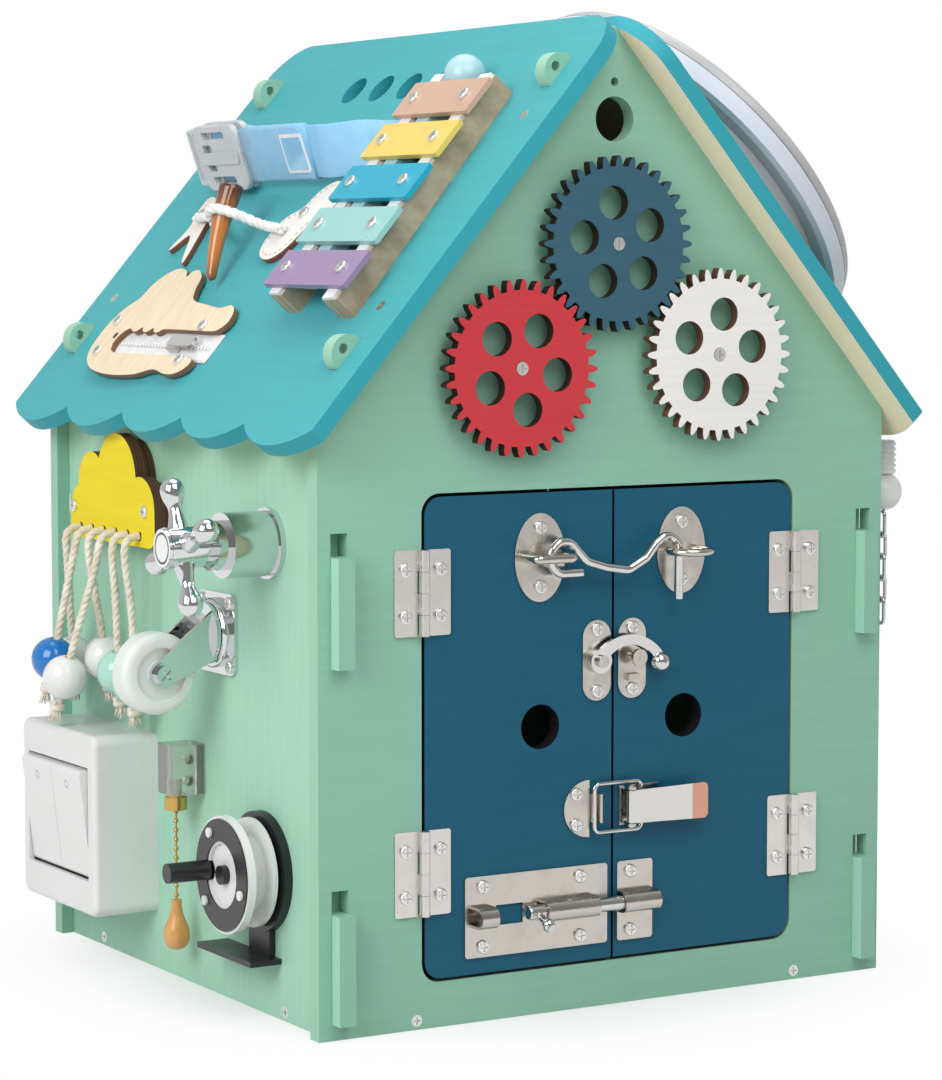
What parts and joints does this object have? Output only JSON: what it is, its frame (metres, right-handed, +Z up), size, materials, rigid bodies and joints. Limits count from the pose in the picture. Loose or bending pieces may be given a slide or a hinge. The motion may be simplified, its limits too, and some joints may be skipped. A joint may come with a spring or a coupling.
{
  "type": "interactive playhouse",
  "caption": "Slotted plywood activity house with latched double doors, meshing gears, wall fittings, roof xylophone and push light",
  "frame": {"origin": "centre of the house's footprint on the floor", "axes": "X to the right seen from the doors, Y from the doors to the rear gable, Z up"},
  "size_m": [0.3699, 0.3162, 0.4513],
  "materials": {
    "board_mint": "satin paint on plywood",
    "wall_mint": "satin paint on plywood",
    "floor_wood": "sanded bare plywood",
    "roof_teal": "satin paint on plywood",
    "door_teal": "satin paint on plywood",
    "gear_red": "satin paint, laser-cut edge",
    "gear_blue": "satin paint, laser-cut edge",
    "gear_white": "satin paint, laser-cut edge",
    "screw_steel": "bright zinc plate",
    "hinge_steel": "bright zinc plate",
    "latch_nickel": "nickel plate",
    "chrome_plate": "polished chrome",
    "wheel_milky": "milky polyurethane",
    "switch_white": "moulded gloss",
    "housing_clear": "clear moulding",
    "chain_brass": "bright ball chain",
    "handle_wood": "turned, clear lacquer",
    "reel_black": "fine moulded texture",
    "reel_white": "moulded gloss",
    "cloud_yellow": "satin paint, laser-cut edge",
    "rope_cotton": "twisted cotton",
    "bead_paint": "gloss paint",
    "rail_wood": "clear lacquer",
    "bar_paint": "gloss paint",
    "mallet_blue": "gloss paint",
    "strap_satin": "woven satin webbing",
    "buckle_clear": "frosted clear moulding",
    "toggle_white": "white leather and rope",
    "horn_brown": "polished horn look",
    "ply_pale": "bare plywood, laser-cut edge",
    "zip_metal": "bright nickel",
    "dome_ring": "frosted moulding",
    "dome_grey": "satin moulding",
    "pendant_white": "moulded gloss"
  },
  "bodies": {
    "root": {"front_gable": "board_mint", "rear_gable": "board_mint", "left_wall": "wall_mint", "right_wall": "wall_mint", "floor_board": "floor_wood", "roof_left": "roof_teal", "roof_right": "roof_teal", "assembly_screws": "screw_steel", "hinge_leaves_frame": "hinge_steel", "tap_base": "chrome_plate", "caster_plate": "chrome_plate", "switch_box": "switch_white", "pull_switch_housing": "housing_clear", "reel_back": "reel_black", "cloud_plate": "cloud_yellow", "fitting_screws": "screw_steel", "bead_ropes": "rope_cotton", "rope_beads": "bead_paint", "xylophone_rails": "rail_wood", "xylophone_bars": "bar_paint", "strap_webbing": "strap_satin", "strap_buckle": "buckle_clear", "toggle_loop": "toggle_white", "toggle_horn": "horn_brown", "plywood_figure": "ply_pale", "dome_base": "dome_ring", "wall_pendant": "pendant_white"},
    "door_left": {"door_left": "door_teal", "hinge_leaves_left": "hinge_steel", "door_screws_left": "screw_steel", "hook_plate_left": "latch_nickel", "swing_plate_left": "latch_nickel", "draw_strike": "latch_nickel", "bolt_plate": "latch_nickel"},
    "door_right": {"door_right": "door_teal", "hinge_leaves_right": "hinge_steel", "door_screws_right": "screw_steel", "hook_plate_right": "latch_nickel", "swing_plate_right": "latch_nickel", "draw_base": "latch_nickel", "bolt_keeper": "latch_nickel"},
    "hook": {"hook_rod": "latch_nickel"},
    "swing_arm": {"swing_arm": "latch_nickel"},
    "draw_lever": {"draw_lever": "latch_nickel"},
    "draw_bail": {"draw_bail": "latch_nickel"},
    "bolt": {"bolt_rod": "latch_nickel"},
    "gear_blue": {"gear_blue": "gear_blue"},
    "gear_red": {"gear_red": "gear_red"},
    "gear_white": {"gear_white": "gear_white"},
    "tap_handle": {"tap_handle": "chrome_plate"},
    "caster_fork": {"caster_fork": "chrome_plate"},
    "caster_wheel": {"caster_wheel": "wheel_milky"},
    "rocker_rear": {"switch_rocker_rear": "switch_white"},
    "rocker_front": {"switch_rocker_front": "switch_white"},
    "pull": {"pull_chain": "chain_brass", "pull_handle": "handle_wood"},
    "reel_spool": {"reel_spool": "reel_white"},
    "mallet": {"xylophone_mallet": "mallet_blue"},
    "zipper_slider": {"zipper_slider": "zip_metal"},
    "dome_cap": {"dome_cap": "dome_grey"}
  },
  "joints": [
    {"name": "door_left_swing", "type": "hinge", "parent": "root", "child": "door_left", "pos_m": [-0.099, -0.1427, 0.13], "axis": [0, 0, -1], "range_deg": [0, 140]},
    {"name": "door_right_swing", "type": "hinge", "parent": "root", "child": "door_right", "pos_m": [0.099, -0.1427, 0.13], "axis": [0, 0, 1], "range_deg": [0, 140]},
    {"name": "hook_lift", "type": "hinge", "parent": "door_left", "child": "hook", "pos_m": [-0.028, -0.148, 0.2048], "axis": [0, -1, 0], "range_deg": [0, 60]},
    {"name": "swing_arm_turn", "type": "hinge", "parent": "door_left", "child": "swing_arm", "pos_m": [-0.0092, -0.144, 0.1572], "axis": [0, -1, 0], "range_deg": [0, 90]},
    {"name": "draw_lever_swing", "type": "hinge", "parent": "door_right", "child": "draw_lever", "pos_m": [0.0065, -0.146, 0.0906], "axis": [0, 0, -1], "range_deg": [0, 110]},
    {"name": "draw_bail_swing", "type": "hinge", "parent": "draw_lever", "child": "draw_bail", "pos_m": [0.0135, -0.1432, 0.0906], "axis": [0, 0, -1], "range_deg": [-112, 2]},
    {"name": "bolt_slide", "type": "slide", "parent": "door_left", "child": "bolt", "axis": [-1, 0, 0], "range_m": [0, 0.019]},
    {"name": "gear_blue_spin", "type": "hinge", "parent": "root", "child": "gear_blue", "pos_m": [-0.0034, -0.1465, 0.3428], "axis": [0, -1, 0], "continuous": true},
    {"name": "gear_red_spin", "type": "hinge", "parent": "root", "child": "gear_red", "pos_m": [-0.05338, -0.1465, 0.28864], "axis": [0, -1, 0], "continuous": true},
    {"name": "gear_white_spin", "type": "hinge", "parent": "root", "child": "gear_white", "pos_m": [0.05102, -0.1465, 0.2931], "axis": [0, -1, 0], "continuous": true},
    {"name": "tap_turn", "type": "hinge", "parent": "root", "child": "tap_handle", "pos_m": [-0.1865, -0.0835, 0.2115], "axis": [-1, 0, 0], "continuous": true},
    {"name": "caster_swivel", "type": "hinge", "parent": "root", "child": "caster_fork", "pos_m": [-0.1498, -0.0337, 0.1672], "axis": [-1, 0, 0], "continuous": true},
    {"name": "caster_roll", "type": "hinge", "parent": "caster_fork", "child": "caster_wheel", "pos_m": [-0.1765, -0.0337, 0.1508], "axis": [0, 1, 0], "continuous": true},
    {"name": "rocker_rear_flip", "type": "hinge", "parent": "root", "child": "rocker_rear", "pos_m": [-0.1715, 0.092, 0.0705], "axis": [0, 1, 0], "range_deg": [0, 14]},
    {"name": "rocker_front_flip", "type": "hinge", "parent": "root", "child": "rocker_front", "pos_m": [-0.1715, 0.058, 0.0705], "axis": [0, 1, 0], "range_deg": [0, 14]},
    {"name": "pull_slide", "type": "slide", "parent": "root", "child": "pull", "axis": [0, 0, -1], "range_m": [0, 0.008], "stiffness_N_per_m": 60, "springref_m": -0.01},
    {"name": "reel_spin", "type": "hinge", "parent": "root", "child": "reel_spool", "pos_m": [-0.161, -0.077, 0.0645], "axis": [-1, 0, 0], "continuous": true},
    {"name": "mallet_slide", "type": "slide", "parent": "root", "child": "mallet", "axis": [0.6561, 0, 0.7547], "range_m": [0, 0.06]},
    {"name": "zipper_slide", "type": "slide", "parent": "root", "child": "zipper_slider", "axis": [0, 1, 0], "range_m": [0, 0.05]},
    {"name": "dome_press", "type": "slide", "parent": "root", "child": "dome_cap", "axis": [-0.7547, 0, -0.6561], "range_m": [0, 0.002], "stiffness_N_per_m": 3000, "springref_m": -0.003}
  ],
  "couplings": [
    {"joint": "gear_red_spin", "follows": "gear_blue_spin", "ratio": -1},
    {"joint": "gear_white_spin", "follows": "gear_blue_spin", "ratio": -1},
    {"joint": "draw_bail_swing", "follows": "draw_lever_swing", "ratio": -1}
  ]
}
